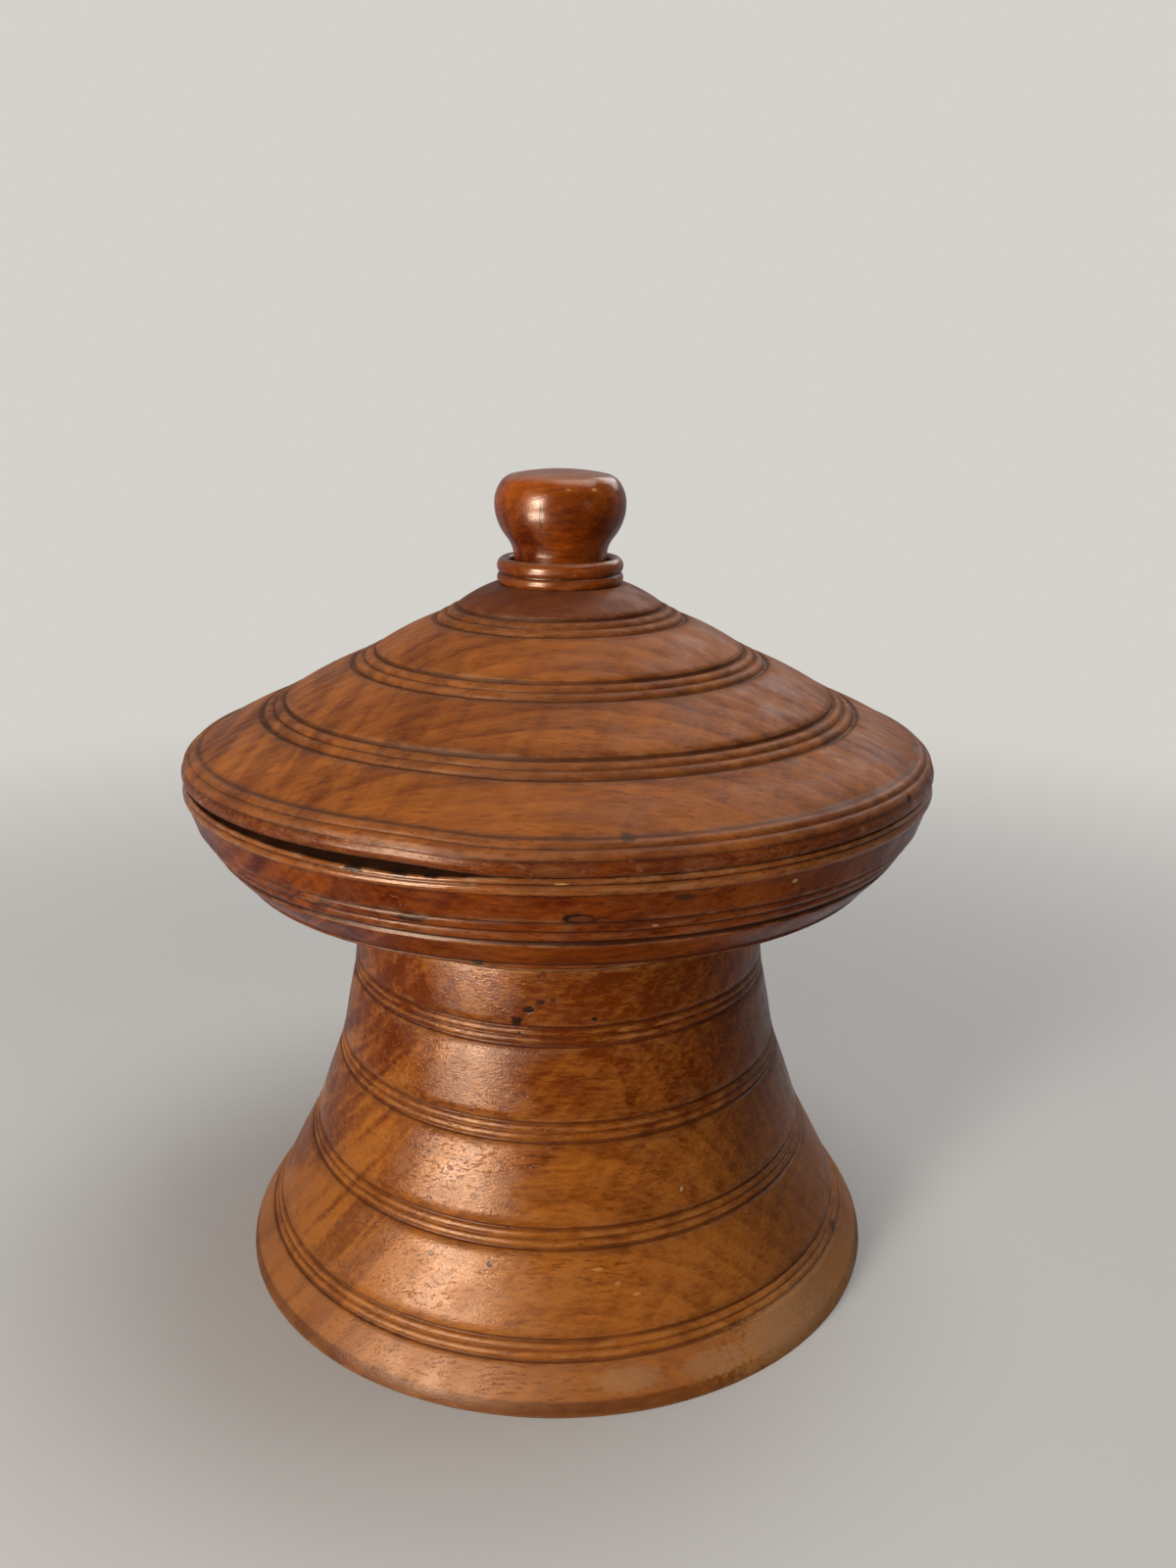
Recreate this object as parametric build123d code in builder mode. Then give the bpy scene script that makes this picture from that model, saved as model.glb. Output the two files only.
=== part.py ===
from build123d import *
import os

os.makedirs("parts", exist_ok=True)

# Offering box: a turned wooden bowl on a hollow flared pedestal, under a conical lid
# with a knob. Millimetres, +Z up, origin under the foot on the turning axis.
# Every profile is half of an upright section: radius first, then height.

# Shared by all turned rings: how hollow a cove is, as a share of its width
cove_hollow = 0.17

# Pedestal
foot_radius = 165.0
foot_edge_height = 6.0
foot_edge_lean = 1.6
foot_edge_swell = 0.5
pedestal_height = 188.0
neck_radius = 104.0
pedestal_wall = 16.0
pedestal_roof = 26.0
pedestal_ring_heights = (24.7, 67.3, 112.3, 156.3)
pedestal_bead_width = 3.9
pedestal_cove_width = 1.5
pedestal_ring_depth = 1.2

# Bowl and the spigot under it, which is glued into the pedestal's roof
bowl_height = 74.0
bowl_radius = 183.6
bowl_floor = 20.0
bowl_rim_face = 15.5
bowl_ledge_depth = 8.0
bowl_ledge_width = 6.5
dish_floor_inset = 36.5
dish_swell = 7.0
base_bead_radius = 158.5
base_bead_height = 28.0
base_bead_width = 4.4
base_bead_tilt = 53.0
base_bead_depth = 1.0
underside_sag = 5.5
belly_swell = 3.2
belly_ring_share = 0.55
belly_bead_width = 6.2
belly_cove_width = 1.8
belly_ring_depth = 1.3
rim_bead_width = 4.4
rim_edge_height = 2.6
rim_ring_depth = 1.1
spigot_radius = 45.0
spigot_length = 22.0
glue_gap = 0.1

# Lid: the cone's slope is its rise for each millimetre of run
lid_overhang = 0.4
lid_slope = 0.5
lid_wall = 13.0
lid_ring_radii = (139.7, 96.0, 56.0)
lid_bead_width = 6.0
lid_cove_width = 2.4
lid_ring_depth = 1.5
lid_band_swell = 0.8
rim_round = 14.0
rim_valley_angles = (28, 48, 68)
lid_rim_bead_depth = 0.9
lid_rim_inset = 1.2
flange_depth = 6.5
flange_thickness = 9.0
flange_clearance = 0.8
crown_radius = 31.0
crown_thickness = 21.0

# Collar and knob
collar_radius = 31.4
collar_height = 12.5
collar_groove_heights = (2.7, 6.2)
collar_groove_radius = 0.8
collar_edge_radius = 2.0
cup_radius = 25.2
cup_depth = 6.5
knob_radius = 31.8
knob_height = 48.0
knob_neck_radius = 22.6
knob_neck_height = 6.5
knob_waist_radius = 26.0
knob_waist_height = 16.0
knob_widest_height = 32.0
knob_shoulder_radius = 29.4
knob_shoulder_height = 41.5
knob_dome_radius = 26.8
knob_dome_rise = 3.7
knob_edge_swell = 0.6
tenon_radius = 12.0
tenon_end_gap = 3.0

# Wedge driven up into the sawn end of the tenon
wedge_length = 20.0
wedge_thick_end = 4.0
wedge_thin_end = 1.6
kerf_spare = 2.0

# Sizes that follow from the ones above
lid_radius = bowl_radius + lid_overhang
parting_height = pedestal_height + bowl_height
floor_height = pedestal_height + bowl_floor
spigot_end = pedestal_height - spigot_length
roof_underside = pedestal_height - pedestal_roof


def flare(height):
    """Radius of the pedestal's outside at a height: a parabola that stands upright at the neck."""
    share = (pedestal_height - height) / (pedestal_height - foot_edge_height)
    edge_radius = foot_radius - foot_edge_lean
    return neck_radius + (edge_radius - neck_radius) * share**2


def turned_ring(start, end, cove, bead, depth):
    """A cove, two beads and a cove from one shoulder up to the next, the way a turner cuts them."""
    along = (end - start).normalized()
    inward = along.rotate(Axis.Z, 90) * depth
    middle = (start + end) / 2
    valleys = [middle + along * (bead * step) + inward for step in (-1, 0, 1)]
    SagittaArc(start, valleys[0], cove * cove_hollow)
    for lower, upper in zip(valleys, valleys[1:]):
        SagittaArc(lower, upper, -depth)
    SagittaArc(valleys[-1], end, cove * cove_hollow)


def ring_shoulders(middle, along, cove, bead):
    """The two ends of a turned ring of two beads and two coves, lower end first."""
    half = along.normalized() * (bead + cove)
    return middle - half, middle + half


# Pedestal: flared bell, open below, with a round socket through its roof
pedestal_rings = []
for height in pedestal_ring_heights:
    step = pedestal_bead_width
    along = Vector(flare(height + step) - flare(height - step), 2 * step)
    spot = Vector(flare(height), height)
    pedestal_rings.append(ring_shoulders(spot, along, pedestal_cove_width, pedestal_bead_width))

bell_foot = Vector(flare(0) - pedestal_wall, 0)
bell_top = Vector(flare(roof_underside) - pedestal_wall, roof_underside)
spread_product = (flare(0) - neck_radius) * (flare(roof_underside) - neck_radius)
bell_bend = Vector(neck_radius - pedestal_wall + spread_product**0.5, roof_underside / 2)
socket_radius = spigot_radius + glue_gap

with BuildPart() as pedestal:
    with BuildSketch(Plane.XZ):
        with BuildLine():
            foot_corner = Vector(foot_radius, 0)
            edge_top = Vector(flare(foot_edge_height), foot_edge_height)
            Line(bell_foot, foot_corner)
            SagittaArc(foot_corner, edge_top, -foot_edge_swell)
            last = edge_top
            for lower, upper in pedestal_rings:
                Line(last, lower)
                turned_ring(lower, upper, pedestal_cove_width, pedestal_bead_width, pedestal_ring_depth)
                last = upper
            Line(last, (neck_radius, pedestal_height))
            Polyline(
                (neck_radius, pedestal_height),
                (socket_radius, pedestal_height),
                (socket_radius, roof_underside),
                bell_top,
            )
            Bezier(bell_top, bell_bend, bell_foot)
        make_face()
    revolve(axis=Axis.Z)

pedestal.part.label = "pedestal"
export_step(pedestal.part, "parts/pedestal.step")

# Bowl: shallow dish with a flat rim, and a ledge inside the rim for the lid's flange
base_valley = Vector(base_bead_radius, pedestal_height + base_bead_height)
base_bead_end = base_valley - Vector(base_bead_width, 0).rotate(Axis.Z, base_bead_tilt)
rim_edge = Vector(bowl_radius - rim_ring_depth, parting_height - rim_edge_height)
rim_valley = rim_edge - Vector(0, rim_bead_width)
belly_chord = rim_valley - base_valley


def belly(share):
    """A point on the bowl's swollen side, from the base bead at 0 to the rim beads at 1."""
    outward = belly_chord.normalized().rotate(Axis.Z, -90)
    return base_valley + belly_chord * share + outward * (belly_swell * 4 * share * (1 - share))


belly_ring = ring_shoulders(
    belly(belly_ring_share), belly_chord, belly_cove_width, belly_bead_width
)
ring_half_share = (belly_bead_width + belly_cove_width) / belly_chord.length
lower_wall_middle = belly((belly_ring_share - ring_half_share) / 2)
upper_wall_middle = belly((1 + belly_ring_share + ring_half_share) / 2)

rim_inner_radius = bowl_radius - bowl_rim_face
ledge_height = parting_height - bowl_ledge_depth
dish_radius = rim_inner_radius - bowl_ledge_width
dish_edge = Vector(base_bead_radius - dish_floor_inset, floor_height)

with BuildPart() as bowl:
    with BuildSketch(Plane.XZ):
        with BuildLine():
            seat_edge = Vector(neck_radius, pedestal_height)
            Polyline(
                (0, floor_height),
                (0, spigot_end),
                (spigot_radius, spigot_end),
                (spigot_radius, pedestal_height),
                seat_edge,
            )
            SagittaArc(seat_edge, base_bead_end, -underside_sag)
            SagittaArc(base_bead_end, base_valley, -base_bead_depth)
            ThreePointArc(base_valley, lower_wall_middle, belly_ring[0])
            turned_ring(*belly_ring, belly_cove_width, belly_bead_width, belly_ring_depth)
            ThreePointArc(belly_ring[1], upper_wall_middle, rim_valley)
            SagittaArc(rim_valley, rim_edge, -rim_ring_depth)
            rim_top = Vector(bowl_radius - rim_ring_depth, parting_height)
            SagittaArc(rim_edge, rim_top, -rim_ring_depth)
            Polyline(
                rim_top,
                (rim_inner_radius, parting_height),
                (rim_inner_radius, ledge_height),
                (dish_radius, ledge_height),
            )
            SagittaArc((dish_radius, ledge_height), dish_edge, dish_swell)
            Line(dish_edge, (0, floor_height))
        make_face()
    revolve(axis=Axis.Z)

bowl.part.label = "bowl"
export_step(bowl.part, "parts/bowl.step")

# Lid: thin cone that rests on the bowl's rim, with a flange that drops inside the rim
rim_centre = Vector(lid_radius - rim_round, parting_height)


def rim_point(angle):
    """A point on the lid's rounded edge, at an angle above the rim's level."""
    return rim_centre + Vector(rim_round, 0).rotate(Axis.Z, angle)


cone_foot = rim_point(rim_valley_angles[-1])


def cone_point(radius):
    """A point on the lid's straight cone at a radius."""
    return Vector(radius, cone_foot.Y + (cone_foot.X - radius) * lid_slope)


cone_along = cone_point(0) - cone_foot
lid_rings = [
    ring_shoulders(cone_point(radius), cone_along, lid_cove_width, lid_bead_width)
    for radius in lid_ring_radii
]
crown_edge = cone_point(crown_radius)
crown_height = crown_edge.Y
ceiling_height = crown_height - crown_thickness
flange_radius = rim_inner_radius - flange_clearance
flange_inner_radius = flange_radius - flange_thickness
lid_drop = lid_wall * (1 + lid_slope**2) ** 0.5
ceiling_radius = cone_foot.X - (ceiling_height + lid_drop - cone_foot.Y) / lid_slope
tenon_hole_radius = tenon_radius + glue_gap

with BuildPart() as lid:
    with BuildSketch(Plane.XZ):
        with BuildLine():
            lip = Vector(lid_radius - lid_rim_inset, parting_height)
            valleys = [rim_point(angle) for angle in rim_valley_angles]
            ThreePointArc(lip, rim_point(rim_valley_angles[0] / 2), valleys[0])
            for lower, upper in zip(valleys, valleys[1:]):
                SagittaArc(lower, upper, -lid_rim_bead_depth)
            last = valleys[-1]
            for lower, upper in lid_rings:
                SagittaArc(last, lower, -lid_band_swell)
                turned_ring(lower, upper, lid_cove_width, lid_bead_width, lid_ring_depth)
                last = upper
            SagittaArc(last, crown_edge, -lid_band_swell)
            Polyline(
                crown_edge,
                (tenon_hole_radius, crown_height),
                (tenon_hole_radius, ceiling_height),
                (ceiling_radius, ceiling_height),
                cone_point(flange_inner_radius) - Vector(0, lid_drop),
                (flange_inner_radius, parting_height - flange_depth),
                (flange_radius, parting_height - flange_depth),
                (flange_radius, parting_height),
                lip,
            )
        make_face()
    revolve(axis=Axis.Z)

lid.part.label = "lid"
export_step(lid.part, "parts/lid.step")

# Collar: cupped ring between the lid's crown and the knob
collar_top = crown_height + collar_height
cup_floor = collar_top - cup_depth

with BuildPart() as collar:
    with BuildSketch(Plane.XZ):
        with BuildLine():
            Polyline(
                (tenon_hole_radius, crown_height),
                (collar_radius, crown_height),
                (collar_radius, collar_top),
                (cup_radius, collar_top),
                (cup_radius, cup_floor),
                (tenon_hole_radius, cup_floor),
                close=True,
            )
        make_face()
        outer_corners = vertices().group_by(Axis.X)[-1]
        fillet(outer_corners, collar_edge_radius)
        cup_corner = vertices().filter_by_position(Axis.X, cup_radius - 0.1, cup_radius + 0.1)
        fillet(cup_corner.sort_by(Axis.Y)[-1], collar_edge_radius / 2)
        grooves = [(collar_radius, crown_height + height) for height in collar_groove_heights]
        with Locations(*grooves):
            Circle(collar_groove_radius, mode=Mode.SUBTRACT)
    revolve(axis=Axis.Z)

collar.part.label = "collar"
export_step(collar.part, "parts/collar.step")

# Knob: flattened ball with a low domed top, and a tenon through the collar and the crown
tenon_end = ceiling_height + tenon_end_gap
knob_top = cup_floor + knob_height
neck_top = Vector(knob_neck_radius, cup_floor + knob_neck_height)
waist = Vector(knob_waist_radius, cup_floor + knob_waist_height)
widest = Vector(knob_radius, cup_floor + knob_widest_height)
shoulder = Vector(knob_shoulder_radius, cup_floor + knob_shoulder_height)
dome_edge = Vector(knob_dome_radius, knob_top - knob_dome_rise)
kerf_end = tenon_end + wedge_length + kerf_spare


def wedge_half(height):
    """Half the wedge's thickness at a height: it tapers evenly from its driven end."""
    taper = (wedge_thick_end - wedge_thin_end) / wedge_length
    return (wedge_thick_end - taper * (height - tenon_end)) / 2


def wedge_outline(top):
    """Both tapered sides of the wedge from the tenon's end up to a height, as a closed outline."""
    Polyline(
        (-wedge_half(tenon_end), tenon_end),
        (wedge_half(tenon_end), tenon_end),
        (wedge_half(top), top),
        (-wedge_half(top), top),
        close=True,
    )


with BuildPart() as knob:
    with BuildSketch(Plane.XZ):
        with BuildLine():
            Polyline(
                (0, knob_top),
                (0, tenon_end),
                (tenon_radius, tenon_end),
                (tenon_radius, cup_floor),
                (knob_neck_radius, cup_floor),
                neck_top,
            )
            TangentArc(neck_top, waist, tangent=(0, 1))
            TangentArc(widest, waist, tangent=(0, -1))
            TangentArc(widest, shoulder, tangent=(0, 1))
            SagittaArc(shoulder, dome_edge, -knob_edge_swell)
            TangentArc((0, knob_top), dome_edge, tangent=(1, 0))
        make_face()
    revolve(axis=Axis.Z)
    with BuildSketch(Plane.XZ):
        with BuildLine():
            wedge_outline(kerf_end)
        make_face()
    extrude(amount=tenon_radius, both=True, mode=Mode.SUBTRACT)

knob.part.label = "knob"
export_step(knob.part, "parts/knob.step")

# Tenon wedge: fills the kerf from side to side and is trimmed round with the tenon
with BuildPart() as tenon_wedge:
    with BuildSketch(Plane.XZ):
        with BuildLine():
            wedge_outline(tenon_end + wedge_length)
        make_face()
    extrude(amount=tenon_radius, both=True)
    with BuildSketch(Plane.XY.offset(tenon_end)):
        Circle(tenon_radius)
    extrude(amount=wedge_length, mode=Mode.INTERSECT)

tenon_wedge.part.label = "tenon_wedge"
export_step(tenon_wedge.part, "parts/tenon_wedge.step")
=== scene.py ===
"""The looks of a turned wooden offering box: bowl on a flared pedestal, conical lid, knob.

Sizes are millimetres in the classes and metres in the meshes. +Z is up along the turning
axis, and -Y is the front.
"""

import logging
import math
from dataclasses import dataclass, field
from enum import Enum

import bmesh
import bpy
from mathutils import Matrix, Vector


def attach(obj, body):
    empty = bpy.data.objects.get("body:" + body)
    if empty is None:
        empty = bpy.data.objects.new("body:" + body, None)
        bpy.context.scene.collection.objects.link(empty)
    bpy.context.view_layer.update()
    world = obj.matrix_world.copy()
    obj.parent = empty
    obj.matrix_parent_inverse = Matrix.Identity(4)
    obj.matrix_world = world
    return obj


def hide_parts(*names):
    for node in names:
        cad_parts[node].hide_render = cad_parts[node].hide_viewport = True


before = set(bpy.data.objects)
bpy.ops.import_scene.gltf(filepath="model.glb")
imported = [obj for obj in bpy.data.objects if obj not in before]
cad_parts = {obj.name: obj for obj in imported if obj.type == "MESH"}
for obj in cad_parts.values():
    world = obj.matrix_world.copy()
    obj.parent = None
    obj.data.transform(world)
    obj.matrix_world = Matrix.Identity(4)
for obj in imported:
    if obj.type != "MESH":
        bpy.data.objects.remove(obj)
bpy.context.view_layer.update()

LOG = logging.getLogger("offering_box")
MM = 0.001
TINY = 1e-6
LAYERS = ("valley", "crest", "halo", "bare", "handled")
UP = Vector((0, 1))
INWARD = Vector((-1, 0))

Colour = tuple[float, float, float]
Place = tuple[float, float, float]
Flat = tuple[float, float]
Span = tuple[float, float, float, float]
Socket = bpy.types.NodeSocket


class Body(Enum):
    """The two parts of the box that move against each other."""

    BASE = "base"
    LID = "lid_group"


# Outlines and turning


@dataclass
class Outline:
    """Half of an upright section in millimetres, drawn from point to point."""

    points: list[Vector] = field(default_factory=list)
    traits: list[tuple[float, float, float]] = field(default_factory=list)
    bareness: float = 0.0
    sunkness: float = 0.0
    handling: float = 0.0

    def start(self, radius: float, height: float) -> "Outline":
        """Sets the first point.

        Args:
            radius: distance from the turning axis.
            height: height above the foot.

        Returns:
            The outline itself.
        """
        self._add(Vector((radius, height)))
        return self

    def _add(self, point: Vector) -> None:
        """Adds one point with the traits that hold at present: bare, sunk and handled."""
        self.points.append(point)
        self.traits.append((self.bareness, self.sunkness, self.handling))

    def line(self, end: Vector | Flat, pitch: float = 4.0) -> None:
        """Draws a straight run, divided evenly.

        Args:
            end: where the run ends.
            pitch: the longest step between two points.
        """
        begin, end = self.points[-1], Vector(end)
        steps = max(1, math.ceil((end - begin).length / pitch))
        for step in range(1, steps + 1):
            self._add(begin.lerp(end, step / steps))

    def arc(self, end: Vector | Flat, swell: float, steps: int = 8) -> None:
        """Draws a circular arc of less than half a turn.

        Args:
            end: where the arc ends.
            swell: how far its middle stands out to the right of the way drawn, never 0.
            steps: how many straight pieces it is made of.
        """
        begin, end = self.points[-1].copy(), Vector(end)
        half = (end - begin).length / 2
        radius = (half * half + swell * swell) / (2 * abs(swell))
        right = Vector((end - begin).yx) * Vector((1, -1))
        side = math.copysign(1.0, swell)
        centre = (begin + end) / 2 - right.normalized() * side * (radius - abs(swell))
        sweep = 2 * math.asin(min(1.0, half / radius)) * side
        for step in range(1, steps + 1):
            arm = begin - centre
            arm.rotate(Matrix.Rotation(sweep * step / steps, 2))
            self._add(centre + arm)
        self.points[-1] = end

    def arc_through(self, through: Vector, end: Vector, steps: int = 10) -> None:
        """Draws an arc that swells as far as a point near its middle.

        Args:
            through: the point.
            end: where the arc ends.
            steps: how many straight pieces it is made of.
        """
        begin = self.points[-1]
        chord = end - begin
        outward = Vector((chord.y, -chord.x)).normalized()
        self.arc(end, (through - begin).dot(outward), steps)

    def leaving_arc(self, end: Flat, tangent: Vector, steps: int = 10) -> None:
        """Draws an arc that leaves the last point along a direction.

        Args:
            end: where the arc ends.
            tangent: the direction at its start.
            steps: how many straight pieces it is made of.
        """
        chord = Vector(end) - self.points[-1]
        self.arc(end, -math.tan(tangent.angle_signed(chord) / 2) * chord.length / 2, steps)

    def arriving_arc(self, end: Flat, tangent: Vector, steps: int = 14) -> None:
        """Draws an arc that swells outward and reaches its end along a direction.

        Args:
            end: where the arc ends.
            tangent: the direction at its end.
            steps: how many straight pieces it is made of.
        """
        chord = Vector(end) - self.points[-1]
        self.arc(end, math.tan(chord.angle(tangent) / 2) * chord.length / 2, steps)

    def beads(self, stops: list[Vector], depth: float) -> None:
        """Draws a row of beads.

        Args:
            stops: the valleys after each bead.
            depth: how far each bead stands out of its valleys.
        """
        for stop in stops:
            self.arc(stop, depth)

    def soften(self, radius: float) -> None:
        """Rounds every sharp corner between two long runs.

        Args:
            radius: how far from the corner the rounding begins.
        """
        shortest_run, least_turn, most_of_run = 1.4, 0.5, 0.45
        points, traits = [self.points[0]], [self.traits[0]]
        for index in range(1, len(self.points) - 1):
            before, corner, after = self.points[index - 1 : index + 2]
            come, leave = corner - before, after - corner
            if min(come.length, leave.length) < shortest_run or come.angle(leave) < least_turn:
                points.append(corner)
                traits.append(self.traits[index])
                continue
            first = corner - come.normalized() * min(radius, come.length * most_of_run)
            last = corner + leave.normalized() * min(radius, leave.length * most_of_run)
            for share in (0.0, 0.25, 0.5, 0.75, 1.0):
                points.append(first.lerp(corner, share).lerp(corner.lerp(last, share), share))
                traits.append(self.traits[index])
        points.append(self.points[-1])
        traits.append(self.traits[-1])
        self.points, self.traits = points, traits


@dataclass
class Relief:
    """What the turner's cuts leave at each point of an outline: valleys, crests, and grime that also paints the
    grooves' shade.
    """

    outline: Outline
    halo_reach: float
    valley_reach: float = 0.9
    crest_reach: float = 1.7
    sunk_valley: float = 0.85
    full_valley: float = 0.8
    full_crest: float = 1.1

    def __post_init__(self) -> None:
        """Measures the way along the outline to each of its points."""
        self.points = self.outline.points
        self.run = [0.0]
        for before, after in zip(self.points, self.points[1:]):
            self.run.append(self.run[-1] + (after - before).length)

    def measure(self) -> tuple[list[float], list[float], list[float]]:
        """Measures how sharply the outline turns at each point.

        Returns:
            Valley, crest and spread of the grime, which also stands for painted shade in the grooves, each 0 to
            1.
        """
        valley = [
            max(self.sunk_valley * sunk, min(1.0, self._turn(index, self.valley_reach) / self.full_valley))
            for index, (_, sunk, _) in enumerate(self.outline.traits)
        ]
        crest = [
            max(0.0, min(1.0, -self._turn(index, self.crest_reach) / self.full_crest))
            for index in range(len(self.points))
        ]
        halo = [
            max(deep * math.exp(-abs(here - there) / self.halo_reach) for there, deep in zip(self.run, valley))
            for here in self.run
        ]
        return valley, crest, halo

    def _turn(self, index: int, reach: float) -> float:
        """How far the outline turns round a point.

        Args:
            index: the point's number.
            reach: how far before and after it the turn is taken.

        Returns:
            The turn in radians, above 0 in a valley.
        """
        come = self.points[index] - self._at(self.run[index] - reach)
        leave = self._at(self.run[index] + reach) - self.points[index]
        if min(come.length, leave.length) < TINY:
            return 0.0
        return come.angle_signed(leave)

    def _at(self, way: float) -> Vector:
        """The point of the outline at a distance along it.

        Args:
            way: the distance from its first point.

        Returns:
            The point, held at either end.
        """
        if way <= 0:
            return self.points[0]
        for index in range(1, len(self.run)):
            before, here = self.run[index - 1 : index + 1]
            if here >= way:
                share = (way - before) / max(1e-9, here - before)
                return self.points[index - 1].lerp(self.points[index], share)
        return self.points[-1]


@dataclass
class Lathe:
    """Spins an outline into a piece and lets its wood dry out of round."""

    name: str
    node: str
    body: Body
    slot: str
    steps: int = 384
    unround: float = 0.25
    seed: float = 0.0
    halo_reach: float = 2.4

    def turn(self, outline: Outline, softness: float, closed: bool = True) -> bmesh.types.BMesh:
        """Rounds an outline's corners, turns it once round the axis and lets the wood dry.

        Args:
            outline: the half section.
            softness: how far from a corner its rounding begins.
            closed: whether the outline's last point joins its first.

        Returns:
            The turned mesh, in metres.
        """
        outline.soften(softness)
        mesh = self._spin(outline, closed)
        for vert in mesh.verts:
            radius = vert.co.xy.length
            if radius >= TINY:
                vert.co.xy *= 1 - self._shrink(vert.co, radius) / radius
        return mesh

    def _spin(self, outline: Outline, closed: bool) -> bmesh.types.BMesh:
        """Turns an eighth of the piece and repeats it round the axis.

        Args:
            outline: the half section.
            closed: whether its last point joins its first.

        Returns:
            The round mesh, in metres.
        """
        mesh = bmesh.new()
        layers = [mesh.verts.layers.float.new(key) for key in LAYERS]
        bare, _, handled = zip(*outline.traits)
        values = (*Relief(outline, self.halo_reach).measure(), bare, handled)
        verts = []
        for index, point in enumerate(outline.points):
            vert = mesh.verts.new((point.x * MM, 0, point.y * MM))
            for layer, value in zip(layers, values):
                vert[layer] = value[index]
            verts.append(vert)
        edges = [mesh.edges.new(pair) for pair in zip(verts, verts[1:])]
        if closed:
            edges.append(mesh.edges.new((verts[-1], verts[0])))
        bmesh.ops.spin(
            mesh, geom=verts + edges, cent=(0, 0, 0), axis=(0, 0, 1), dvec=(0, 0, 0),
            angle=math.tau / 8, steps=self.steps // 8, use_merge=False, use_duplicate=False,
        )
        for share in (8, 4, 2):
            turned = bmesh.ops.duplicate(mesh, geom=mesh.verts[:] + mesh.edges[:] + mesh.faces[:])["geom"]
            turned = [part for part in turned if isinstance(part, bmesh.types.BMVert)]
            around = Matrix.Rotation(math.tau / share, 3, "Z")
            bmesh.ops.rotate(mesh, verts=turned, cent=(0, 0, 0), matrix=around)
        bmesh.ops.remove_doubles(mesh, verts=mesh.verts, dist=TINY)
        bmesh.ops.recalc_face_normals(mesh, faces=mesh.faces)
        return mesh

    def _shrink(self, spot: Vector, radius: float) -> float:
        """How far the wood has dried inward at a point.

        Args:
            spot: the point, in metres.
            radius: its distance from the axis, in metres.

        Returns:
            The way inward in metres, which fades out near the axis.
        """
        oval_share, uneven_share, full_radius = 0.6, 0.4, 0.03
        bearing = math.atan2(spot.y, spot.x)
        oval = math.sin(2 * bearing + self.seed) * oval_share
        uneven = math.sin(3 * bearing + 5 * spot.z + self.seed * 2) * uneven_share
        return self.unround * MM * (1 + (oval + uneven)) / 2 * min(1.0, radius / full_radius)

    def finish(self, mesh: bmesh.types.BMesh, material: bpy.types.Material) -> bpy.types.Object:
        """Makes the piece and puts it in the place of its plain solid.

        Args:
            mesh: the finished mesh, in metres.
            material: what it is dressed in.

        Returns:
            The piece.
        """
        data = bpy.data.meshes.new(self.name)
        mesh.to_mesh(data)
        mesh.free()
        data.materials.append(material)
        for face in data.polygons:
            face.use_smooth = True
        piece = bpy.data.objects.new(self.name, data)
        bpy.context.scene.collection.objects.link(piece)
        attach(piece, self.body.value)
        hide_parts(self.node)
        LOG.info("%s: %d faces on %s", self.name, len(data.polygons), self.body.value)
        return piece


# Finishes


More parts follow.
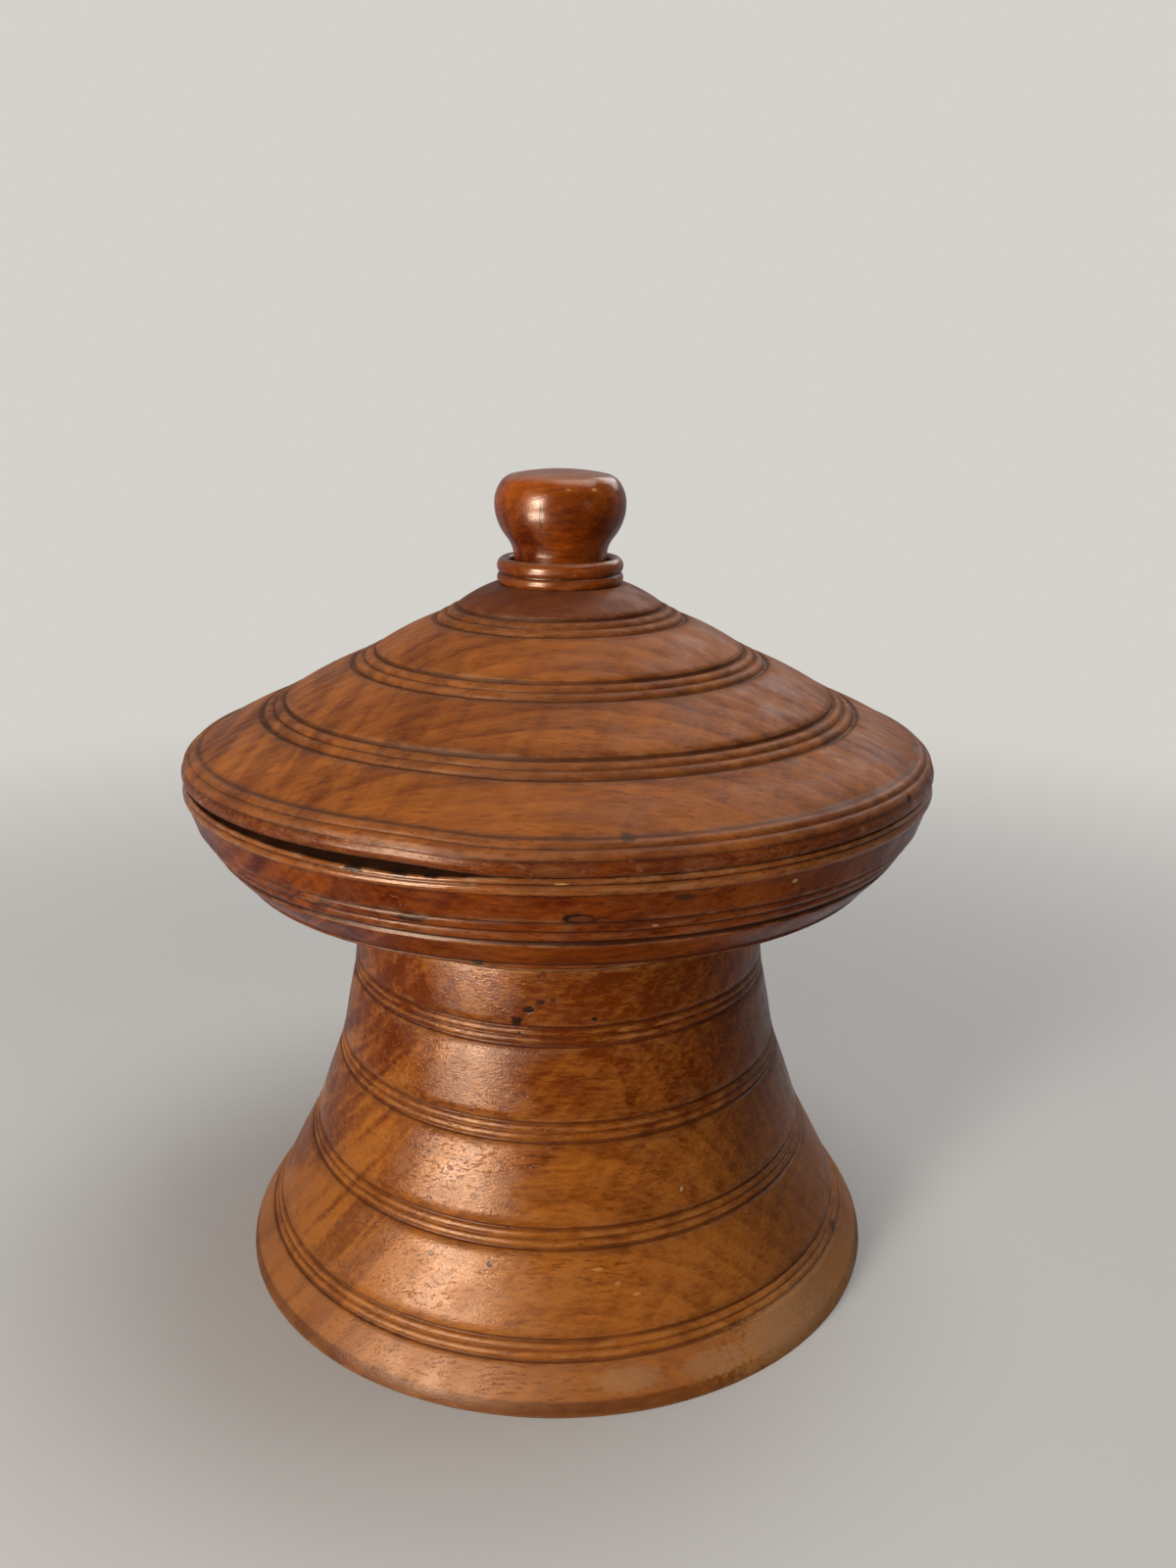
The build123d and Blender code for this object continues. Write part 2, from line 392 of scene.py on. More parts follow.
class Bench:
    """Wires the shader nodes of one material or of the world."""

    def __init__(self, owner: bpy.types.Material | bpy.types.World) -> None:
        """Clears the nodes.

        Args:
            owner: the material or the world.
        """
        owner.use_nodes = True
        self.owner = owner
        self.tree = owner.node_tree
        self.tree.nodes.clear()

    def node(self, kind: str, feeds: dict[int | str, object] | None = None, **settings: object) -> bpy.types.Node:
        """Adds a node.

        Args:
            kind: the node's type.
            feeds: what each input gets: an output, a number, a colour or a vector.
            settings: the node's properties.

        Returns:
            The node.
        """
        made = self.tree.nodes.new(kind)
        for key, value in settings.items():
            setattr(made, key, value)
        for key, value in (feeds or {}).items():
            socket = made.inputs[key]
            if isinstance(value, Socket):
                self.tree.links.new(value, socket)
            elif isinstance(value, tuple) and socket.type == "RGBA":
                socket.default_value = (*value, 1.0)
            else:
                socket.default_value = value
        return made

    def math(self, operation: str, first: object, second: object = 0.0, clamp: bool = False) -> Socket:
        """A Math node's result."""
        feeds = {0: first, 1: second}
        return self.node("ShaderNodeMath", feeds, operation=operation, use_clamp=clamp).outputs[0]

    def plus(self, first: object, second: object, clamp: bool = False) -> Socket:
        """A sum."""
        return self.math("ADD", first, second, clamp)

    def less(self, first: object, second: object, clamp: bool = False) -> Socket:
        """A difference."""
        return self.math("SUBTRACT", first, second, clamp)

    def times(self, first: object, second: object) -> Socket:
        """A product."""
        return self.math("MULTIPLY", first, second)

    def swing(self, value: Socket, middle: float, share: object) -> Socket:
        """How far a value is off its middle, times a share."""
        return self.times(self.less(value, middle), share)

    def vector(self, operation: str, first: object, second: object = (0.0, 0.0, 0.0)) -> Socket:
        """A Vector Math node's result, a number for LENGTH."""
        made = self.node("ShaderNodeVectorMath", {0: first, 1: second}, operation=operation)
        return made.outputs["Value" if operation == "LENGTH" else "Vector"]

    def split(self, vector: Socket) -> bpy.types.NodeOutputs:
        """A vector's three numbers."""
        return self.node("ShaderNodeSeparateXYZ", {0: vector}).outputs

    def noise(self, place: Socket, stretch: Place, detail: float = 3.0, roughness: float = 0.55) -> Socket:
        """Noise whose features are 1/stretch millimetres long on each axis, about 0.5 in the mean."""
        feeds = {"Vector": self.vector("MULTIPLY", place, stretch), "Scale": 1.0}
        feeds |= {"Detail": detail, "Roughness": roughness}
        return self.node("ShaderNodeTexNoise", feeds, noise_dimensions="3D").outputs["Fac"]

    def span(self, value: Socket, low: float, high: float, to_low: float = 0.0, to_high: float = 1.0) -> Socket:
        """Maps a value smoothly from one span to another, and holds it at the ends."""
        feeds = dict(enumerate((value, low, high, to_low, to_high)))
        return self.node("ShaderNodeMapRange", feeds, interpolation_type="SMOOTHSTEP").outputs[0]

    def blend(self, share: Socket, first: object, second: object, mode: str = "MIX") -> Socket:
        """Mixes two colours."""
        feeds = {0: share, 6: first, 7: second}
        return self.node("ShaderNodeMix", feeds, data_type="RGBA", blend_type=mode).outputs[2]

    def ray(self, name: str) -> Socket:
        """Whether a ray of light is of one kind."""
        return self.node("ShaderNodeLightPath").outputs[name]

    def trait(self, name: str) -> Socket:
        """One of the piece's own point attributes."""
        made = self.node("ShaderNodeAttribute", attribute_type="GEOMETRY", attribute_name=name)
        return made.outputs["Fac"]


# How fine each pattern is, in features per millimetre along the fibres, across them and up.
DRIFT = (0.006, 0.011, 0.011)
WOBBLE = (0.03, 0.07, 0.07)
RIPPLE = (0.12, 0.014, 0.010)
BLOTCH = (0.016, 0.035, 0.035)
FINE = (0.10, 0.45, 0.45)
DASHES = (0.11, 0.70, 0.70)
CROWDS = (0.02, 0.03, 0.03)
SHINE = (0.05, 0.09, 0.09)
PATCHES = (0.035, 0.05, 0.05)
RUBBING = (0.08, 0.1, 0.3)
CHIPPING = (0.13, 0.16, 0.22)
RAGGED = (0.3, 0.45, 0.45)
ORANGE_PEEL = (0.9, 1.0, 1.0)
FIBRE = (0.15, 1.1, 1.1)

MEAN = 0.5
RING_MEAN = 0.4


class Tint(Enum):
    """What a mark on the wood is; the stain tint also lays broad patches of painted shade."""

    KNOT = (0.012, 0.006, 0.005)
    STAIN = (0.05, 0.018, 0.008)
    HEART = (0.13, 0.030, 0.010)
    SOAKED = (0.10, 0.018, 0.003)
    RAW = (0.62, 0.40, 0.24)
    PALE = (0.42, 0.22, 0.11)
    WORN = (0.62, 0.30, 0.09)


@dataclass(frozen=True)
class Mark:
    """A knot, stain, chip or scratch, or a broad patch of painted shade: an egg-shaped place in millimetres."""

    place: Place
    radii: Place
    tint: Tint
    strength: float = 1.0


@dataclass(frozen=True)
class TurnedWood:
    """Turned hardwood with its fibres along X, under an old varnish."""

    name: str
    light: Colour
    dark: Colour
    grime_and_shade: Colour
    worn_and_highlight: Colour
    bare_light: Colour = (0.30, 0.15, 0.07)
    bare_dark: Colour = (0.15, 0.065, 0.03)
    pith: Flat = (260.0, 120.0)
    ring_pitch: float = 9.0
    ring_drift: float = 30.0
    wobble: float = 4.0
    slant: float = 0.8
    ring_share: float = 0.30
    ripple_share: float = 0.25
    fleck_share: float = 0.6
    fleck_tint: Colour = (0.35, 0.22, 0.16)
    blotch_share: float = 0.55
    fine_share: float = 0.65
    handled: Colour = (0.13, 0.026, 0.005)
    handled_gloss: float = 0.28
    dulled: Span | None = None
    halo_dulling: float = 0.12
    bare_dulling: float = 0.25
    grime_and_shade_share: float = 0.85
    halo_share: float = 0.4
    crest_wear_and_highlight_share: float = 0.35
    chip_share: float = 0.5
    dust: Colour = (0.32, 0.24, 0.20)
    dust_share: float = 0.0
    gloss_low: float = 0.30
    gloss_high: float = 0.50
    specular: float = 0.3
    varnish: Colour = (1.0, 0.72, 0.52)
    coat: float = 0.0
    coat_roughness: float = 0.25
    sheen: float = 0.0
    sheen_roughness: float = 0.5
    bump: float = 0.10
    peel_height: float = 0.6
    fibre_height: float = 0.45
    pore_depth: float = 0.5
    ring_depth: float = 0.2
    mark_depth: float = 0.5
    raggedness: float = 1.7
    # Colour change by height, partly the wood's own tone and partly painted shade and light.
    shade_and_tone_by_height: Span | None = None
    marks: tuple[Mark, ...] = ()

    def make(self) -> bpy.types.Material:
        """Builds the material.

        Returns:
            The material, patterned in the piece's own millimetres.
        """
        bench = Bench(bpy.data.materials.new(self.name))
        place = bench.node("ShaderNodeTexCoord").outputs["Object"]
        place = bench.vector("MULTIPLY", place, (1 / MM,) * 3)
        figure = self._figure(bench, place)
        colour = self._age(bench, place, self._colour(bench, place, figure))
        colour, marked = self._marks(bench, place, colour)
        height = self._height(bench, place, figure, marked)
        feeds = {"Height": height, "Strength": 1.0, "Distance": self.bump * MM}
        normal = bench.node("ShaderNodeBump", feeds).outputs[0]
        shader = bench.node("ShaderNodeBsdfPrincipled", {
            "Base Color": colour, "Roughness": self._roughness(bench, place),
            "Specular IOR Level": self.specular, "Specular Tint": self.varnish,
            "Sheen Weight": self.sheen, "Sheen Roughness": self.sheen_roughness, "Sheen Tint": self.dust,
            "Coat Weight": self.coat, "Coat Roughness": self.coat_roughness,
            "Normal": normal, "Coat Normal": normal,
        })
        bench.node("ShaderNodeOutputMaterial", {0: shader.outputs[0]})
        return bench.owner

    def _figure(self, bench: Bench, place: Socket) -> dict[str, Socket]:
        """Lays out the wood's figure.

        Args:
            bench: the material being wired.
            place: coordinates in millimetres.

        Returns:
            Growth rings, ripple, dark flecks, blotches and fine fibre, each 0 to 1.
        """
        along, across, up = bench.split(place)
        drift = bench.noise(place, DRIFT, 2)
        deep, high = bench.less(across, self.pith[0]), bench.less(up, self.pith[1])
        spread = bench.math("SQRT", bench.plus(bench.times(deep, deep), bench.times(high, high)))
        spread = bench.plus(spread, bench.times(drift, self.ring_drift))
        spread = bench.plus(spread, bench.times(bench.noise(place, WOBBLE, 2), self.wobble))
        turns = bench.math("FRACT", bench.math("DIVIDE", spread, self.ring_pitch))
        ring = bench.times(bench.span(turns, 0.1, 0.9), bench.span(turns, 1.0, 0.92))
        leaning = {0: bench.less(along, bench.times(up, self.slant)), 1: across, 2: up}
        slanted = bench.node("ShaderNodeCombineXYZ", leaning).outputs[0]
        ripple = bench.span(bench.noise(slanted, RIPPLE, 3, 0.5), 0.38, 0.62)
        aside = bench.span(along, -115.0, -25.0, 1.8, 0.45)
        dashes = bench.noise(bench.vector("ADD", place, (0.0, 90.0, 0.0)), DASHES, 3, 0.6)
        crowded = bench.noise(bench.vector("ADD", place, (70.0, 0.0, 0.0)), CROWDS, 2)
        return {
            "ring": bench.times(ring, bench.span(drift, 0.35, 0.65, 0.35, 1.0)),
            "ripple": bench.plus(MEAN, bench.swing(ripple, MEAN, aside)),
            "fleck": bench.times(bench.span(dashes, 0.55, 0.66), bench.span(crowded, 0.40, 0.6, 0.15, 1.0)),
            "blotch": bench.span(bench.noise(place, BLOTCH, 4, 0.62), 0.34, 0.66),
            "fine": bench.span(bench.noise(place, FINE, 5, 0.78), 0.3, 0.7),
        }

    def _colour(self, bench: Bench, place: Socket, figure: dict[str, Socket]) -> Socket:
        """Colours the clean wood: varnished, bare, or tanned where hands have held it, and darker or lighter by
        height, partly the wood's tone and partly painted shade and light.

        Args:
            bench: the material being wired.
            place: coordinates in millimetres.
            figure: the wood's figure.

        Returns:
            The colour.
        """
        tone = bench.plus(MEAN, bench.swing(figure["ring"], RING_MEAN, -self.ring_share))
        tone = bench.plus(tone, bench.swing(figure["ripple"], MEAN, self.ripple_share))
        tone = bench.plus(tone, bench.swing(figure["blotch"], MEAN, self.blotch_share))
        tone = bench.plus(tone, bench.swing(figure["fine"], MEAN, self.fine_share), clamp=True)
        # Darker or lighter by height. On the pedestal: painted shade under the bowl, and real wear with painted
        # light on the foot. On the knob: painted shade low on the ball and painted light on its top, along with
        # its amber tone. On the lid: darker towards the collar.
        if self.shade_and_tone_by_height:
            tone = bench.plus(tone, bench.span(bench.split(place)[2], *self.shade_and_tone_by_height), clamp=True)
        held = bench.times(bench.trait("handled"), bench.span(figure["fine"], 0.0, 1.0, 0.95, 0.45))
        varnished = bench.blend(held, bench.blend(tone, self.dark, self.light), self.handled)
        bare = bench.blend(tone, self.bare_dark, self.bare_light)
        colour = bench.blend(bench.trait("bare"), varnished, bare)
        flecks = bench.times(figure["fleck"], self.fleck_share)
        return bench.blend(flecks, colour, self.fleck_tint, "MULTIPLY")

    def _roughness(self, bench: Bench, place: Socket) -> Socket:
        """Dulls the surface by the grooves and on bare wood.

        Args:
            bench: the material being wired.
            place: coordinates in millimetres.

        Returns:
            The roughness.
        """
        rough = bench.span(bench.noise(place, SHINE, 4), 0.35, 0.65, self.gloss_low, self.gloss_high)
        rough = bench.plus(rough, bench.times(bench.trait("halo"), self.halo_dulling))
        rough = bench.plus(rough, bench.times(bench.trait("bare"), self.bare_dulling), clamp=True)
        rough = bench.less(rough, bench.times(bench.trait("handled"), self.handled_gloss), clamp=True)
        if self.dulled:
            rough = bench.plus(rough, bench.span(bench.split(place)[2], *self.dulled), clamp=True)
        return rough

    def _age(self, bench: Bench, place: Socket, colour: Socket) -> Socket:
        """Grime with painted shade in the grooves, wear with a painted highlight on the beads, and dust on what
        faces up.

        Args:
            bench: the material being wired.
            place: coordinates in millimetres.
            colour: the clean wood.

        Returns:
            The aged colour.
        """
        patchy = bench.noise(place, PATCHES, 4, 0.6)
        # Grime colour in and round the grooves and on sunk faces: dirt, and with it painted shade in these
        # creases.
        halo = bench.times(bench.span(bench.trait("halo"), 0.12, 0.9), bench.span(patchy, 0.3, 0.62))
        colour = bench.blend(bench.times(halo, self.halo_share), colour, self.grime_and_shade)
        patches = bench.span(patchy, 0.15, 0.5, 0.6, 1.0)
        valley = bench.times(bench.span(bench.trait("valley"), 0.25, 0.8), patches)
        colour = bench.blend(bench.times(valley, self.grime_and_shade_share), colour, self.grime_and_shade)
        # Lighter colour on the bead crests: wear, and with it a painted highlight along the crests.
        crest_wear_and_highlight = bench.span(bench.noise(place, RUBBING, 4, 0.65), 0.42, 0.66)
        crest_wear_and_highlight = bench.times(bench.trait("crest"), crest_wear_and_highlight)
        crest_wear_and_highlight = bench.times(crest_wear_and_highlight, bench.less(1.0, bench.trait("bare"), clamp=True))
        colour = bench.blend(bench.times(crest_wear_and_highlight, self.crest_wear_and_highlight_share), colour, self.worn_and_highlight)
        chips = bench.span(bench.noise(place, CHIPPING, 5, 0.7), 0.58, 0.66)
        chips = bench.times(bench.times(chips, bench.trait("handled")), self.chip_share)
        colour = bench.blend(chips, colour, self.worn_and_highlight)
        if self.dust_share:
            facing = bench.split(bench.node("ShaderNodeNewGeometry").outputs["Normal"])[2]
            settled = bench.times(bench.span(facing, 0.6, 0.98), bench.span(patchy, 0.3, 0.7, 0.45, 1.0))
            colour = bench.blend(bench.times(settled, self.dust_share), colour, self.dust)
        return colour

    def _marks(self, bench: Bench, place: Socket, colour: Socket) -> tuple[Socket, object]:
        """Lays the knots, stains, chips and patches of painted shade over the colour.

        Args:
            bench: the material being wired.
            place: coordinates in millimetres.
            colour: the aged wood.

        Returns:
            The marked colour and the sum of the knots' and chips' shares.
        """
        marked: object = 0.0
        if not self.marks:
            return colour, marked
        ragged = bench.swing(bench.noise(place, RAGGED, 4, 0.7), MEAN, self.raggedness)
        for mark in self.marks:
            away = bench.vector("SUBTRACT", place, mark.place)
            away = bench.vector("LENGTH", bench.vector("DIVIDE", away, mark.radii))
            here = bench.span(bench.plus(away, ragged), 1.25, 0.75, 0.0, mark.strength)
            colour = bench.blend(here, colour, mark.tint.value)
            if mark.tint in (Tint.KNOT, Tint.RAW):
                marked = bench.plus(marked, here)
        return colour, marked

    def _height(self, bench: Bench, place: Socket, figure: dict[str, Socket], marked: object) -> Socket:
        """The small relief of the surface.

        Args:
            bench: the material being wired.
            place: coordinates in millimetres.
            figure: the wood's figure, whose dark flecks are open pores.
            marked: the share of knots and chips, which lie deeper.

        Returns:
            The height, about 0 to 1.
        """
        peel = bench.times(bench.noise(place, ORANGE_PEEL, 3, 0.65), self.peel_height)
        height = bench.plus(peel, bench.times(bench.noise(place, FIBRE, 3, 0.6), self.fibre_height))
        height = bench.less(height, bench.times(figure["fleck"], self.pore_depth))
        height = bench.less(height, bench.times(figure["ring"], self.ring_depth))
        return bench.less(height, bench.times(marked, self.mark_depth))


# The box's pieces


@dataclass
class Pedestal:
    """The hollow flared foot with four double-beaded rings."""

    foot_radius: float = 165.0
    foot_edge: float = 6.0
    foot_lean: float = 1.6
    height: float = 188.0
    neck_radius: float = 104.0
    wall: float = 16.0
    roof: float = 26.0
    socket_radius: float = 45.1
    ring_heights: tuple[float, ...] = (24.7, 67.3, 112.3, 156.3)
    bead: float = 3.9
    cove: float = 1.5
    depth: float = 1.2
    band_swell: float = 0.25
    edge_swell: float = 0.3
    bell_steps: int = 22
    wood: TurnedWood = TurnedWood(
        "pedestal_wood_varnished",
        light=(0.42, 0.128, 0.016), dark=(0.135, 0.022, 0.001), grime_and_shade=(0.070, 0.014, 0.004),
        worn_and_highlight=(0.50, 0.20, 0.055), crest_wear_and_highlight_share=0.6, gloss_low=0.18, gloss_high=0.32, specular=0.25,
        handled=(0.33, 0.120, 0.038), handled_gloss=-0.12, chip_share=0.25, bump=0.26,
        # The height span on the next line darkens the top under the bowl, which is painted shade with some grime.
        # It lightens the foot, which is real wear with painted light from above.
        dulled=(66.0, 44.0, 0.0, 0.12), shade_and_tone_by_height=(174.0, 26.0, -0.34, 0.32), ripple_share=0.45,
        blotch_share=0.2, ring_share=0.24, grime_and_shade_share=0.6, halo_share=0.25,
        marks=(
            Mark((-19.2, -103.3, 163.5), (2.6, 4.0, 2.2), Tint.KNOT, 0.9),
            Mark((-13.4, -103.9, 169.6), (2.6, 4.0, 1.6), Tint.KNOT, 0.9),
            Mark((-8.1, -104.3, 173.2), (2.2, 4.0, 1.3), Tint.KNOT, 0.8),
            Mark((-2.4, -104.5, 174.7), (2.0, 4.0, 1.1), Tint.KNOT, 0.7),
            Mark((16.2, -103.8, 164.7), (1.2, 3.0, 1.0), Tint.KNOT, 0.9),
            Mark((-17.9, -104.0, 158.0), (1.2, 3.0, 0.9), Tint.KNOT, 0.9),
            Mark((124.0, -100.0, 8.0), (64.0, 56.0, 18.0), Tint.WORN, 0.36),
            Mark((57.1, -111.0, 81.3), (0.8, 2.0, 1.0), Tint.RAW, 0.7),
            Mark((17.9, -134.7, 55.2), (2.4, 3.0, 0.6), Tint.WORN, 0.6),
            Mark((27.0, -136.0, 49.0), (1.4, 3.0, 0.7), Tint.WORN, 0.5),
            Mark((35.8, -137.1, 43.8), (2.2, 3.0, 0.6), Tint.WORN, 0.6),
            Mark((30.0, -154.0, 12.1), (16.0, 7.0, 5.0), Tint.PALE, 0.4),
            Mark((72.1, -143.0, 11.1), (22.0, 9.0, 5.0), Tint.PALE, 0.4),
            Mark((112.0, -112.0, 12.0), (34.0, 34.0, 9.0), Tint.PALE, 0.5),
            Mark((-58.6, -122.4, 55.5), (1.2, 2.0, 1.0), Tint.KNOT, 0.9),
            Mark((-31.1, -131.9, 56.0), (1.2, 2.0, 1.0), Tint.KNOT, 0.9),
            Mark((142.2, -55.6, 23.2), (3.0, 4.0, 3.0), Tint.STAIN, 0.8),
            # The next two broad marks darken the pedestal's left and right sides: painted shade, laid in the
            # stain tint.
            Mark((-140.0, -80.0, 50.0), (60.0, 70.0, 70.0), Tint.STAIN, 0.14),
            Mark((130.0, -60.0, 80.0), (60.0, 60.0, 90.0), Tint.STAIN, 0.25),
        ),
    )

    def flare(self, height: float) -> float:
        """The outside's radius at a height."""
        share = (self.height - height) / (self.height - self.foot_edge)
        return self.neck_radius + (self.foot_radius - self.foot_lean - self.neck_radius) * share**2

    def outline(self) -> Outline:
        """Draws the section up the outside and back down the hollow.

        Returns:
            The closed outline.
        """
        drawn = Outline(bareness=1.0).start(self.flare(0) - self.wall, 0)
        drawn.line((self.foot_radius, 0))
        drawn.bareness, drawn.sunkness, drawn.handling = 0.0, 0.9, 0.2
        drawn.arc((self.flare(self.foot_edge), self.foot_edge), self.edge_swell, 6)
        drawn.sunkness, drawn.handling = 0.0, 0.6
        for middle in self.ring_heights:
            lower, upper = self._shoulders(middle)
            drawn.arc(lower, self.band_swell)
            drawn.handling = 0.0
            cut_ring(drawn, lower, upper, (lower + upper) / 2, self.bead, self.depth)
        drawn.arc((self.neck_radius, self.height), self.band_swell)
        drawn.bareness = 1.0
        ceiling = self.height - self.roof
        bell_top = Vector((self.flare(ceiling) - self.wall, ceiling))
        bell_foot = drawn.points[0]
        drawn.line((self.socket_radius, self.height), 6)
        drawn.line((self.socket_radius, ceiling), 6)
        drawn.line(bell_top, 6)
        product = (self.flare(0) - self.neck_radius) * (self.flare(ceiling) - self.neck_radius)
        bend = Vector((self.neck_radius - self.wall + product**0.5, ceiling / 2))
        for step in range(1, self.bell_steps):
            share = step / self.bell_steps
            point = bell_top.lerp(bend, share).lerp(bend.lerp(bell_foot, share), share)
            drawn.line(point, self.height)
        return drawn

    def _shoulders(self, middle: float) -> tuple[Vector, Vector]:
        """The lower and upper end of the ring at a height.

        Args:
            middle: the height where its two beads meet.

        Returns:
            The two ends, square to the flare.
        """
        widening = self.flare(middle + self.bead) - self.flare(middle - self.bead)
        half = Vector((widening, 2 * self.bead)).normalized() * (self.bead + self.cove)
        centre = Vector((self.flare(middle), middle))
        return centre - half, centre + half

    def build(self) -> bpy.types.Object:
        """Turns and dresses the pedestal."""
        lathe = Lathe("pedestal_turned", "pedestal", Body.BASE, "pedestal_wood", seed=0.7)
        return lathe.finish(lathe.turn(self.outline(), 0.9), self.wood.make())


def cut_ring(drawn: Outline, lower: Vector, upper: Vector, middle: Vector, bead: float, depth: float) -> None:
    """Draws a cove, two beads and a cove from one shoulder to the next.

    Args:
        drawn: the outline, which has reached the lower shoulder.
        lower: the first shoulder.
        upper: the last shoulder.
        middle: where the two beads meet.
        bead: the width of each bead.
        depth: how deep the valleys lie.
    """
    hollow, shoulder_sunkness = 0.05, 0.4
    along = (upper - lower).normalized()
    inward = Vector((-along.y, along.x)) * depth
    valleys = [middle + along * bead * step + inward for step in (-1, 0, 1)]
    drawn.sunkness = 1.0
    drawn.arc(valleys[0], -(middle - lower).length * hollow, 4)
    drawn.sunkness = 0.0
    drawn.beads(valleys[1:], depth)
    drawn.sunkness = 1.0
    drawn.arc(upper, -(upper - middle).length * hollow, 4)
    drawn.traits[-1] = (drawn.bareness, shoulder_sunkness, drawn.handling)
    drawn.sunkness = 0.0


def settle(spot: Vector, lean: float = 0.8) -> float:
    """How far the rim and the lid have settled: nothing at the front, most at the back.

    Args:
        spot: a point in metres.
        lean: degrees that the rim leans back.

    Returns:
        The drop in metres, which is the same for the lid as for the rim under it. It fades
        out towards the axis, so that the knob stays upright.
    """
    radius, still, fading = spot.xy.length, 34, 30
    return math.radians(lean) * (radius + spot.y) * max(0.0, min(1.0, (radius / MM - still) / fading))


def gape_share(spot: Vector, bearing: float) -> float:
    """How far the lid and the bowl stand apart at a point of the rim.

    Args:
        spot: a point in metres.
        bearing: degrees from +X where the gap is widest.

    Returns:
        The share of the widest gap, which closes fast towards the front and slowly to the left.
    """
    to_front, to_left = 17.0, 62.0
    turn = math.degrees(math.atan2(spot.y, spot.x)) - bearing
    turn = (turn + 180) % 360 - 180
    return max(0.0, 1 - (turn / (to_front if turn > 0 else to_left)) ** 2) ** 2


